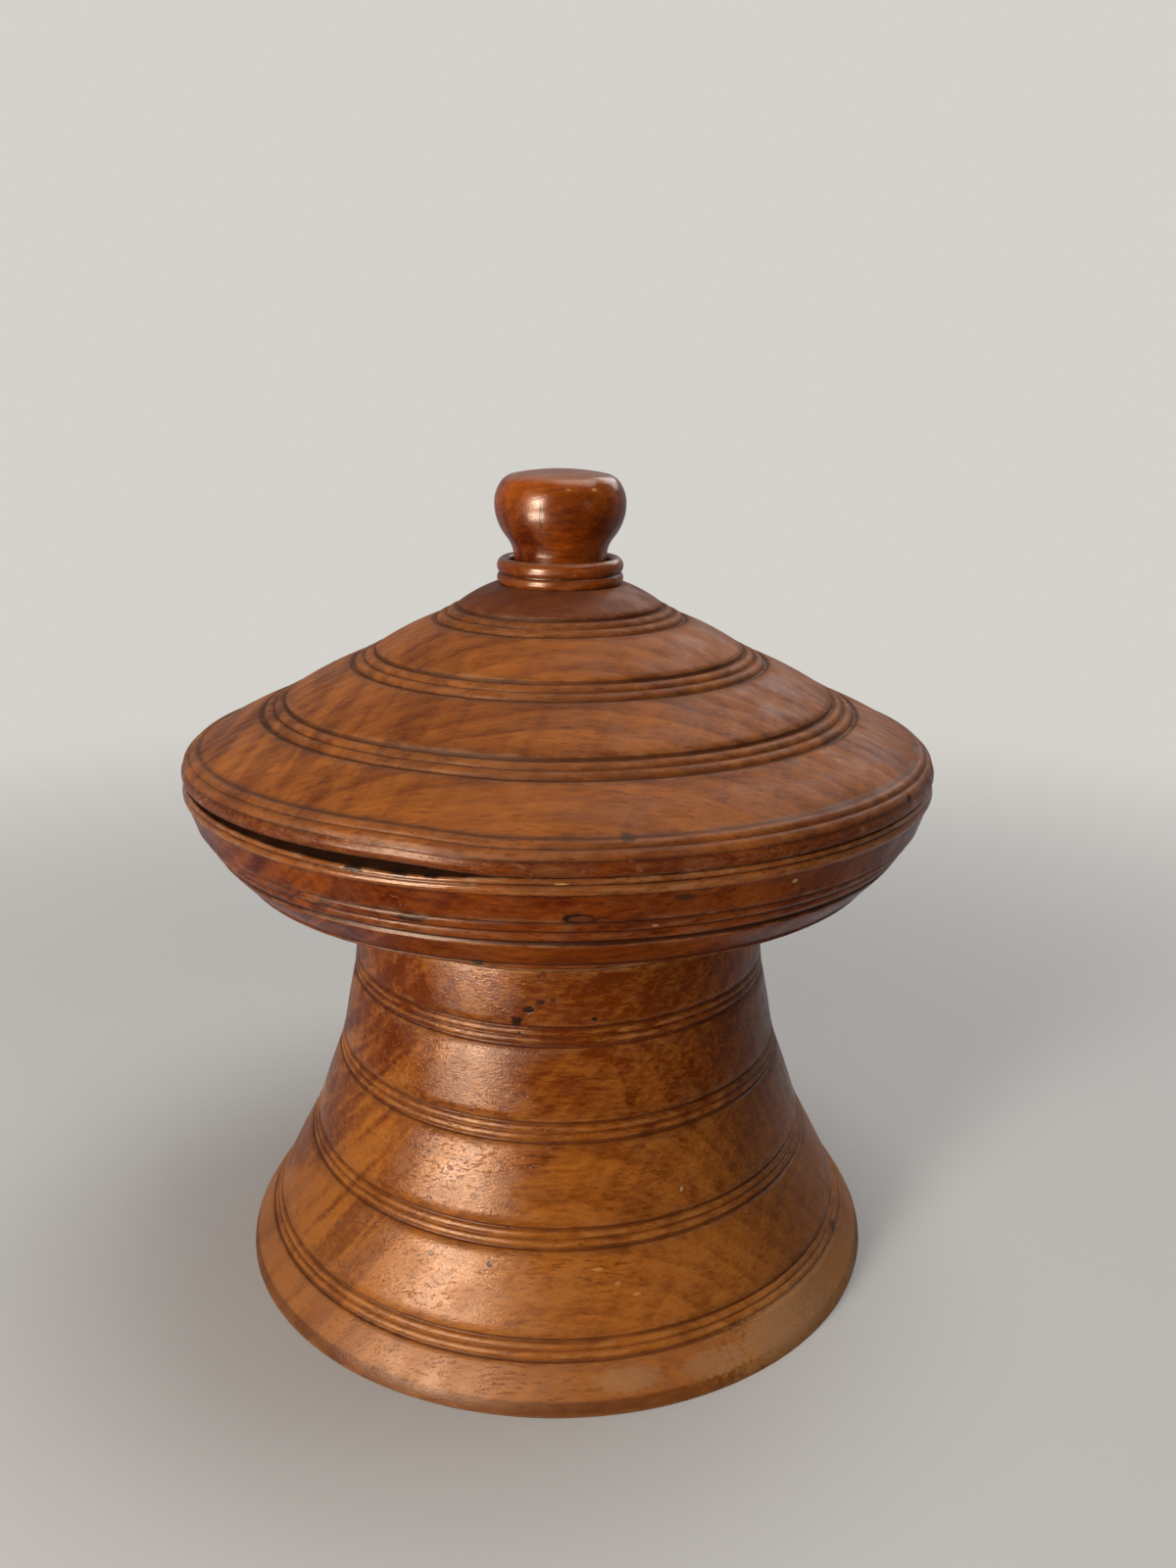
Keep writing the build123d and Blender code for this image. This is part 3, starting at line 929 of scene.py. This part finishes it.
@dataclass
class Bowl:
    """The shallow dish with beads under its rim and half way down."""

    floor: float = 188.0
    rim: float = 262.0
    radius: float = 183.6
    spigot_radius: float = 45.0
    spigot_depth: float = 22.0
    neck_radius: float = 104.0
    neck_cove: Flat = (112.0, 8.0)
    neck_hollow: float = 1.6
    underside_hollow: float = 0.8
    base_bead_radius: float = 158.5
    base_bead_height: float = 28.0
    base_bead: float = 2.3
    base_bead_tilt: float = 53.0
    base_bead_depth: float = 0.6
    belly_swell: float = 3.2
    belly_share: float = 0.55
    belly_bead: float = 6.2
    belly_cove: float = 1.8
    belly_depth: float = 1.3
    rim_bead: float = 4.4
    rim_edge: float = 2.6
    rim_depth: float = 1.1
    rim_lean: float = 0.9
    rim_face: float = 15.5
    ledge_depth: float = 8.0
    ledge_width: float = 6.5
    dish_inset: float = 36.5
    dish_height: float = 20.0
    dish_hollow: float = 7.0
    lean_start: float = 12.0
    rim_sag: float = 1.6
    sag_depth: float = 9.0
    gape_bearing: float = 249.0
    wood: TurnedWood = TurnedWood(
        "bowl_wood_varnished",
        light=(0.26, 0.055, 0.005), dark=(0.082, 0.008, 0.0005), grime_and_shade=(0.028, 0.006, 0.002),
        worn_and_highlight=(0.50, 0.25, 0.11), handled=(0.42, 0.16, 0.045), gloss_low=0.18, gloss_high=0.32,
        ripple_share=0.35, crest_wear_and_highlight_share=0.5, chip_share=0.35, pith=(300.0, 210.0), bump=0.16,
        marks=(
            Mark((7.3, -178.5, 243.8), (6.6, 9.0, 3.1), Tint.KNOT, 0.95),
            Mark((8.6, -178.5, 244.1), (4.0, 9.0, 1.5), Tint.HEART, 1.0),
            Mark((-57.8, -166.8, 239.6), (6.5, 6.0, 1.6), Tint.KNOT, 0.8),
            Mark((-32.8, -155.0, 216.0), (2.4, 5.0, 1.6), Tint.KNOT, 0.9),
            Mark((94.2, -154.7, 250.8), (1.2, 3.0, 0.8), Tint.RAW, 0.7),
            Mark((0.8, -183.5, 260.0), (2.6, 2.0, 0.5), Tint.WORN, 0.8),
            Mark((37.2, -172.0, 238.9), (1.3, 4.0, 0.6), Tint.RAW, 0.5),
            Mark((-80.3, -163.9, 259.3), (5.0, 4.0, 1.3), Tint.KNOT, 0.9),
            Mark((-62.0, -171.5, 259.6), (4.0, 4.0, 1.1), Tint.KNOT, 0.85),
            Mark((-49.0, -176.0, 260.8), (3.5, 4.0, 1.0), Tint.KNOT, 0.9),
            Mark((-37.4, -179.0, 262.2), (3.5, 4.0, 1.2), Tint.KNOT, 0.9),
            Mark((48.8, -174.8, 251.9), (5.0, 4.0, 1.4), Tint.STAIN, 0.9),
        ),
    )

    @property
    def base_valley(self) -> Vector:
        """Where the lowest bead meets the belly."""
        return Vector((self.base_bead_radius, self.floor + self.base_bead_height))

    @property
    def rim_valley(self) -> Vector:
        """Where the belly meets the beads under the rim."""
        return Vector((self.radius - self.rim_depth, self.rim - self.rim_edge - self.rim_bead))

    def _belly(self, share: float) -> Vector:
        """A point on the swollen side.

        Args:
            share: 0 at the lowest bead and 1 at the rim's beads.

        Returns:
            The point.
        """
        chord = self.rim_valley - self.base_valley
        outward = Vector((chord.y, -chord.x)).normalized()
        return self.base_valley + chord * share + outward * self.belly_swell * 4 * share * (1 - share)

    def outline(self) -> Outline:
        """Draws the section from the spigot up the outside and down into the dish.

        Returns:
            The outline, which begins and ends on the axis.
        """
        spigot_end = self.floor - self.spigot_depth
        tilt = math.radians(self.base_bead_tilt)
        base_end = self.base_valley - Vector((math.cos(tilt), math.sin(tilt))) * self.base_bead
        drawn = Outline(bareness=1.0).start(0, spigot_end)
        drawn.line((self.spigot_radius, spigot_end), 9)
        drawn.line((self.spigot_radius, self.floor), 6)
        drawn.line((self.neck_radius, self.floor), 8)
        drawn.bareness = 0.0
        drawn.arc((self.neck_cove[0], self.floor + self.neck_cove[1]), -self.neck_hollow)
        drawn.arc(base_end, -self.underside_hollow, 14)
        drawn.arc(self.base_valley, self.base_bead_depth)
        chord = self.rim_valley - self.base_valley
        width = self.belly_bead + self.belly_cove
        half = width / chord.length
        centre = self._belly(self.belly_share)
        lower, upper = centre - chord.normalized() * width, centre + chord.normalized() * width
        drawn.arc_through(self._belly((self.belly_share - half) / 2), lower)
        cut_ring(drawn, lower, upper, centre, self.belly_bead, self.belly_depth)
        drawn.arc_through(self._belly((1 + self.belly_share + half) / 2), self.rim_valley)
        drawn.handling = 0.5
        rim_top = self.radius - self.rim_depth
        drawn.arc((rim_top, self.rim - self.rim_edge), self.rim_depth)
        drawn.arc((rim_top - self.rim_lean, self.rim), self.rim_depth)
        drawn.traits[-2:] = [(0.0, 0.8, 0.2), (0.0, 1.0, 0.0)]
        drawn.bareness, drawn.sunkness, drawn.handling = 0.6, 0.8, 0.0
        inner, ledge = self.radius - self.rim_face, self.rim - self.ledge_depth
        bottom = self.floor + self.dish_height
        drawn.line((inner, self.rim), 4)
        drawn.line((inner, ledge), 4)
        drawn.line((inner - self.ledge_width, ledge), 4)
        drawn.sunkness = 0.0
        drawn.arc((self.base_bead_radius - self.dish_inset, bottom), -self.dish_hollow, 16)
        drawn.line((0, bottom), 8)
        return drawn

    def build(self) -> bpy.types.Object:
        """Turns, leans and dresses the bowl.

        Returns:
            The piece.
        """
        lathe = Lathe("bowl_turned", "bowl", Body.BASE, "bowl_wood", seed=2.1)
        mesh = lathe.turn(self.outline(), 0.8, closed=False)
        self._sag(mesh)
        return lathe.finish(mesh, self.wood.make())

    def _sag(self, mesh: bmesh.types.BMesh) -> None:
        """Leans the rim back a little and wears it down at the front left, where the lid gapes.

        Args:
            mesh: the turned mesh, in metres.
        """
        for vert in mesh.verts:
            high = (vert.co.z / MM - self.floor) / (self.rim - self.floor - self.lean_start)
            vert.co.z -= settle(vert.co) * max(0.0, min(1.0, high))
            above = (vert.co.z / MM - (self.rim - self.sag_depth)) / self.sag_depth
            if above > 0 and vert.co.xy.length / MM > self.radius - self.rim_face - 1:
                vert.co.z -= self.rim_sag * MM * gape_share(vert.co, self.gape_bearing) * min(1.0, above)


@dataclass
class Lid:
    """The conical lid with three double-beaded rings and a beaded edge."""

    seat: float = 262.0
    radius: float = 184.0
    slope: float = 0.5
    wall: float = 13.0
    ring_radii: tuple[float, ...] = (139.7, 96.0, 56.0)
    bead: float = 5.5
    outer_cove: float = 2.5
    inner_cove: float = 1.5
    depth: float = 1.7
    band_swell: float = 0.8
    rim_round: float = 14.0
    rim_valleys: tuple[float, ...] = (28.0, 48.0, 68.0)
    rim_bead_depth: float = 1.15
    rim_inset: float = 2.2
    flange_depth: float = 6.5
    flange_thickness: float = 9.0
    flange_radius: float = 167.3
    seat_edge: float = 0.8
    crown_radius: float = 31.0
    crown_thickness: float = 21.0
    hole_radius: float = 12.1
    gape: float = 2.7
    gape_bearing: float = 247.0
    gape_start: float = 90.0
    wood: TurnedWood = TurnedWood(
        "lid_wood_dull",
        light=(0.37, 0.105, 0.012), dark=(0.118, 0.022, 0.002), grime_and_shade=(0.045, 0.015, 0.006),
        worn_and_highlight=(0.46, 0.21, 0.09), handled=(0.115, 0.013, 0.002), gloss_low=0.40, gloss_high=0.58,
        specular=0.2, sheen=0.12, dust=(0.45, 0.29, 0.21), shade_and_tone_by_height=(347.0, 328.0, -0.3, 0.0),
        ripple_share=0.3, fine_share=0.4, halo_share=0.45, grime_and_shade_share=0.6, blotch_share=0.42,
        pith=(330.0, 150.0), bump=0.15, chip_share=0.35,
        marks=(
            Mark((152.2, -100.5, 268.5), (2.4, 2.4, 2.0), Tint.KNOT, 1.0),
            Mark((0.0, 0.0, 349.0), (60.0, 60.0, 22.0), Tint.SOAKED, 0.5),
            Mark((25.8, -173.0, 275.2), (3.2, 3.0, 2.0), Tint.STAIN, 0.9),
        ),
    )

    def _rim_point(self, angle: float) -> Vector:
        """A point on the rounded edge.

        Args:
            angle: degrees above the seat.

        Returns:
            The point.
        """
        turn = math.radians(angle)
        arm = Vector((math.cos(turn), math.sin(turn))) * self.rim_round
        return Vector((self.radius - self.rim_round, self.seat)) + arm

    def cone_point(self, radius: float) -> Vector:
        """A point on the straight cone at a radius."""
        foot = self._rim_point(self.rim_valleys[-1])
        return Vector((radius, foot.y + (foot.x - radius) * self.slope))

    def outline(self) -> Outline:
        """Draws the section from the seat up the cone and back down the underside.

        Returns:
            The closed outline.
        """
        foot = self._rim_point(self.rim_valleys[-1])
        lip = Vector((self.radius - self.rim_inset, self.seat))
        drawn = Outline(handling=1.0, sunkness=1.0).start(*lip)
        drawn.sunkness = 0.0
        half_way = self._rim_point(self.rim_valleys[0] / 2)
        drawn.arc_through(half_way, self._rim_point(self.rim_valleys[0]), 8)
        drawn.handling = 0.3
        drawn.beads([self._rim_point(angle) for angle in self.rim_valleys[1:]], self.rim_bead_depth)
        drawn.handling = 0.0
        along = (self.cone_point(0) - foot).normalized()
        for radius in self.ring_radii:
            centre = self.cone_point(radius)
            lower = centre - along * (self.bead + self.outer_cove)
            upper = centre + along * (self.bead + self.inner_cove)
            drawn.arc(lower, self.band_swell, 10)
            cut_ring(drawn, lower, upper, centre, self.bead, self.depth)
        crown = self.cone_point(self.crown_radius)
        drawn.arc(crown, self.band_swell)
        drawn.bareness = 1.0
        ceiling = crown.y - self.crown_thickness
        drop = self.wall * math.sqrt(1 + self.slope**2)
        inner = self.flange_radius - self.flange_thickness
        drawn.line((self.hole_radius, crown.y), 6)
        drawn.line((self.hole_radius, ceiling), 6)
        drawn.line((foot.x - (ceiling + drop - foot.y) / self.slope, ceiling), 6)
        drawn.line(self.cone_point(inner) - Vector((0, drop)), 8)
        drawn.line((inner, self.seat - self.flange_depth), 4)
        drawn.sunkness = 0.7
        drawn.line((self.flange_radius, self.seat - self.flange_depth), 4)
        drawn.line((self.flange_radius, self.seat), 4)
        drawn.line(lip - Vector((self.seat_edge, 0)), 4)
        return drawn

    def _warp(self, mesh: bmesh.types.BMesh) -> None:
        """Lifts the edge at the front left, where the dried lid no longer meets the bowl.

        The whole lid leans with the rim under it.

        Args:
            mesh: the turned mesh, in metres.
        """
        for vert in mesh.verts:
            outer = (vert.co.xy.length / MM - self.gape_start) / (self.radius - self.gape_start)
            if outer > 0:
                vert.co.z += self.gape * MM * gape_share(vert.co, self.gape_bearing) * outer**2
            vert.co.z -= settle(vert.co)

    def build(self) -> bpy.types.Object:
        """Turns, warps and dresses the lid.

        Returns:
            The piece.
        """
        lathe = Lathe("lid_turned", "lid", Body.LID, "lid_wood", seed=4.2, halo_reach=4.5)
        mesh = lathe.turn(self.outline(), 0.9)
        self._warp(mesh)
        return lathe.finish(mesh, self.wood.make())


@dataclass
class Handle:
    """The cupped collar, the knob that stands in it, and the wedge in the knob's tenon.

    The knob's stations are a radius and a height above the cup's floor.
    """

    crown: float
    hole_radius: float = 12.1
    collar_radius: float = 31.4
    collar_height: float = 12.5
    foot_inset: float = 2.0
    top_inset: float = 3.2
    lower_bead_depth: float = 1.35
    upper_bead_depth: float = 1.9
    groove_height: float = 5.4
    groove_depth: float = 1.9
    cup_radius: float = 25.2
    cup_depth: float = 6.5
    lip_drop: float = 1.3
    lip_swell: float = 0.35
    tenon_radius: float = 12.0
    tenon_end: float = 18.0
    neck: Flat = (22.6, 6.5)
    flare: Flat = (26.0, 16.0)
    widest: Flat = (31.8, 32.0)
    shoulder: Flat = (28.8, 41.6)
    shoulder_swell: float = 0.6
    dome_edge: Flat = (23.6, 45.5)
    dome_top: Flat = (0.0, 48.0)
    wood: TurnedWood = TurnedWood(
        "knob_wood_polished",
        light=(0.39, 0.078, 0.003), dark=(0.085, 0.008, 0.0004), grime_and_shade=(0.012, 0.003, 0.002),
        worn_and_highlight=(0.55, 0.26, 0.09), handled=(0.21, 0.038, 0.002), handled_gloss=0.0, chip_share=0.25,
        gloss_low=0.18, gloss_high=0.32, specular=0.4, coat=0.08, coat_roughness=0.14,
        # The height span on the next line darkens the ball low down, which is painted shade with the wood's
        # darker tone. It lightens the top, which is painted light with its amber tone.
        blotch_share=0.6, fine_share=0.4, shade_and_tone_by_height=(372.0, 391.0, -0.10, 0.12), pith=(60.0, 380.0),
        ring_pitch=6.0, bump=0.06, dust=(0.42, 0.30, 0.22), dust_share=0.35,
        marks=(
            Mark((-8.9, -30.2, 381.1), (0.7, 3.0, 6.0), Tint.KNOT, 0.9),
            Mark((15.8, -25.5, 393.3), (1.3, 2.0, 0.7), Tint.WORN, 0.7),
            Mark((3.7, -29.7, 393.5), (1.2, 2.0, 0.5), Tint.WORN, 0.6),
        ),
    )

    def collar_outline(self) -> Outline:
        """Draws the collar's section.

        Returns:
            The closed outline.
        """
        top = self.crown + self.collar_height
        cup_floor = top - self.cup_depth
        groove = (self.collar_radius - self.groove_depth, self.crown + self.groove_height)
        drawn = Outline(handling=1.0).start(self.hole_radius, self.crown)
        drawn.line((self.collar_radius - self.foot_inset, self.crown), 5)
        drawn.arc(groove, self.lower_bead_depth, 12)
        drawn.arc((self.collar_radius - self.top_inset, top), self.upper_bead_depth, 14)
        drawn.arc((self.cup_radius, top - self.lip_drop), self.lip_swell, 6)
        drawn.handling = 0.0
        drawn.line((self.cup_radius, cup_floor), 2)
        drawn.line((self.hole_radius, cup_floor), 4)
        return drawn

    def knob_outline(self) -> Outline:
        """Draws the knob's section from the tenon's end to the dome's top.

        Returns:
            The outline, which begins and ends on the axis.
        """
        floor = self.crown + self.collar_height - self.cup_depth
        end = self.crown - self.tenon_end
        stations = (self.neck, self.flare, self.widest, self.shoulder, self.dome_edge, self.dome_top)
        neck, flare, widest, shoulder, edge, top = ((radius, floor + high) for radius, high in stations)
        drawn = Outline(bareness=1.0).start(0, end)
        drawn.line((self.tenon_radius, end), 4)
        drawn.line((self.tenon_radius, floor), 6)
        drawn.bareness = 0.0
        drawn.line((neck[0], floor), 4)
        drawn.line(neck, 2)
        drawn.leaving_arc(flare, UP)
        drawn.arriving_arc(widest, UP)
        drawn.leaving_arc(shoulder, UP)
        drawn.arc(edge, self.shoulder_swell, 10)
        drawn.arriving_arc(top, INWARD)
        return drawn

    def build(self) -> list[bpy.types.Object]:
        """Turns and dresses the collar, the knob and the wedge.

        Returns:
            The three pieces.
        """
        material = self.wood.make()
        made = []
        for name, outline, closed in (
            ("collar", self.collar_outline(), True),
            ("knob", self.knob_outline(), False),
        ):
            lathe = Lathe(f"{name}_turned", name, Body.LID, "knob_wood", steps=192, unround=0.15, seed=1.3)
            mesh = lathe.turn(outline, 0.6, closed)
            made.append(lathe.finish(mesh, material))
        made.append(self._wedge())
        return made

    def _wedge(self) -> bpy.types.Object:
        """Dresses the wedge's plain solid in bare hardwood."""
        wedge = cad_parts["tenon_wedge"]
        wood = TurnedWood(
            "wedge_wood_bare", light=(0.50, 0.33, 0.18), dark=(0.34, 0.19, 0.09),
            grime_and_shade=(0.1, 0.05, 0.03), worn_and_highlight=(0.5, 0.3, 0.2), gloss_low=0.6, gloss_high=0.75, ring_pitch=2.0,
        )
        wedge.data.materials.clear()
        wedge.data.materials.append(wood.make())
        return wedge


# The studio


@dataclass(frozen=True)
class Lamp:
    """One area lamp that faces the box, in metres and watts.

    Its bearing is in degrees to the right of the front.
    """

    name: str
    bearing: float
    distance: float
    height: float
    size: Flat
    watts: float
    colour: Colour
    gloss_only: bool = False

    def hang(self, aim_height: float = 0.22) -> None:
        """Hangs the lamp.

        Args:
            aim_height: how high above the floor it is aimed.
        """
        data = bpy.data.lights.new(self.name, "AREA")
        data.shape = "RECTANGLE"
        data.size, data.size_y = self.size
        data.energy = self.watts
        data.color = self.colour
        lamp = bpy.data.objects.new(self.name, data)
        turn = math.radians(self.bearing)
        lamp.location = (math.sin(turn) * self.distance, -math.cos(turn) * self.distance, self.height)
        aim = Vector((0, 0, aim_height)) - lamp.location
        lamp.rotation_euler = aim.to_track_quat("-Z", "Y").to_euler()
        lamp.visible_camera = False
        if self.gloss_only:
            lamp.visible_diffuse = False
        bpy.context.scene.collection.objects.link(lamp)


# A tall soft light at the front left, glows that only the varnish shows, a weak side light
# and a wide one overhead.
LAMPS = (
    Lamp("window", -41.0, 1.7, 0.60, (0.36, 0.85), 24.0, (1.0, 0.97, 0.93)),
    Lamp("window_glow", -41.0, 1.7, 0.74, (0.60, 0.82), 44.0, (1.0, 0.96, 0.90), gloss_only=True),
    Lamp("low_glow", -43.0, 0.8, 0.09, (0.36, 0.17), 9.0, (1.0, 0.96, 0.90), gloss_only=True),
    Lamp("wall_glow", 145.0, 1.6, 1.3, (1.0, 0.8), 8.0, (0.97, 0.98, 1.0), gloss_only=True),
    Lamp("side", 46.0, 2.2, 0.75, (0.16, 0.3), 1.6, (1.0, 0.98, 0.95)),
    Lamp("ceiling", 110.0, 0.5, 1.9, (1.2, 1.2), 17.0, (0.97, 0.98, 1.0)),
)


@dataclass
class Studio:
    """A pale floor, plain soft light and the camera."""

    pale: Colour = (0.66, 0.64, 0.60)
    room: Colour = (0.95, 0.96, 1.0)
    room_reach: Flat = (-0.3, 0.8)
    room_light: Flat = (0.12, 0.30)
    room_gloss: Flat = (0.012, 0.28)
    floor_radius: float = 1.8
    floor_drop: float = 0.0003
    floor_fade: Flat = (0.30, 1.25)
    sensor: float = 36.0
    lens_pixels: float = 1395.0
    picture_height: float = 1600.0
    camera_place: Place = (0.0, -0.6655, 0.4444)
    pitch: float = 16.706
    yaw: float = 1.243
    roll: float = 0.510

    def build(self) -> None:
        """Sets up the whole studio."""
        self._world()
        self._floor()
        for lamp in LAMPS:
            lamp.hang()
        self._camera()
        bpy.context.scene.view_settings.view_transform = "Standard"

    def _world(self) -> None:
        """A soft room light from behind, and a plain pale backdrop for the camera."""
        bench = Bench(bpy.data.worlds.new("soft_room"))
        bpy.context.scene.world = bench.owner
        depth = bench.split(bench.node("ShaderNodeTexCoord").outputs["Generated"])[1]
        light = bench.span(depth, *self.room_reach, *self.room_light)
        gloss = bench.span(depth, *self.room_reach, *self.room_gloss)
        strength = bench.node("ShaderNodeMix", {0: bench.ray("Is Glossy Ray"), 2: light, 3: gloss})
        room = bench.node("ShaderNodeBackground", {0: self.room, 1: strength.outputs[0]})
        backdrop = bench.node("ShaderNodeBackground", {0: self.pale, 1: 1.0})
        feeds = {0: bench.ray("Is Camera Ray"), 1: room.outputs[0], 2: backdrop.outputs[0]}
        mixed = bench.node("ShaderNodeMixShader", feeds)
        bench.node("ShaderNodeOutputWorld", {0: mixed.outputs[0]})

    def _floor(self) -> None:
        """A pale floor that fades into the backdrop and isn't mirrored in the varnish."""
        mesh = bmesh.new()
        bmesh.ops.create_circle(mesh, cap_ends=True, segments=96, radius=self.floor_radius)
        bmesh.ops.translate(mesh, verts=mesh.verts, vec=(0, 0, -self.floor_drop))
        data = bpy.data.meshes.new("floor")
        mesh.to_mesh(data)
        mesh.free()
        floor = bpy.data.objects.new("floor", data)
        bpy.context.scene.collection.objects.link(floor)
        bench = Bench(bpy.data.materials.new("floor_pale"))
        away = bench.vector("LENGTH", bench.node("ShaderNodeTexCoord").outputs["Object"])
        far = bench.times(bench.span(away, *self.floor_fade), bench.ray("Is Camera Ray"))
        matt = {"Base Color": self.pale, "Roughness": 1.0, "Specular IOR Level": 0.0}
        paint = bench.node("ShaderNodeBsdfPrincipled", matt)
        glow = bench.node("ShaderNodeEmission", {0: self.pale})
        mixed = bench.node("ShaderNodeMixShader", {0: far, 1: paint.outputs[0], 2: glow.outputs[0]})
        bench.node("ShaderNodeOutputMaterial", {0: mixed.outputs[0]})
        data.materials.append(bench.owner)
        floor.visible_glossy = False

    def _camera(self) -> None:
        """Stands the camera in front of the box, a little above its lid."""
        pitch, yaw, roll = (math.radians(angle) for angle in (self.pitch, self.yaw, self.roll))
        forward = Vector((math.sin(yaw) * math.cos(pitch), math.cos(yaw) * math.cos(pitch), -math.sin(pitch)))
        right = Vector((math.cos(yaw), -math.sin(yaw), 0))
        up = right.cross(forward)
        level = right * math.cos(roll) + up * math.sin(roll)
        upright = up * math.cos(roll) - right * math.sin(roll)
        data = bpy.data.cameras.new("camera")
        data.sensor_fit = "VERTICAL"
        data.sensor_height = self.sensor
        data.lens = self.sensor * self.lens_pixels / self.picture_height
        data.clip_start = 0.01
        camera = bpy.data.objects.new("camera", data)
        turned = Matrix((level, upright, -forward)).transposed()
        camera.matrix_world = Matrix.Translation(self.camera_place) @ turned.to_4x4()
        bpy.context.scene.collection.objects.link(camera)
        bpy.context.scene.camera = camera


def main() -> None:
    """Builds and dresses the box, piece by piece."""
    logging.basicConfig(level=logging.INFO, format="%(message)s")
    Studio().build()
    Pedestal().build()
    Bowl().build()
    lid = Lid()
    lid.build()
    Handle(crown=lid.cone_point(lid.crown_radius).y).build()
    LOG.info("the box is dressed")


if __name__ == "__main__":
    main()
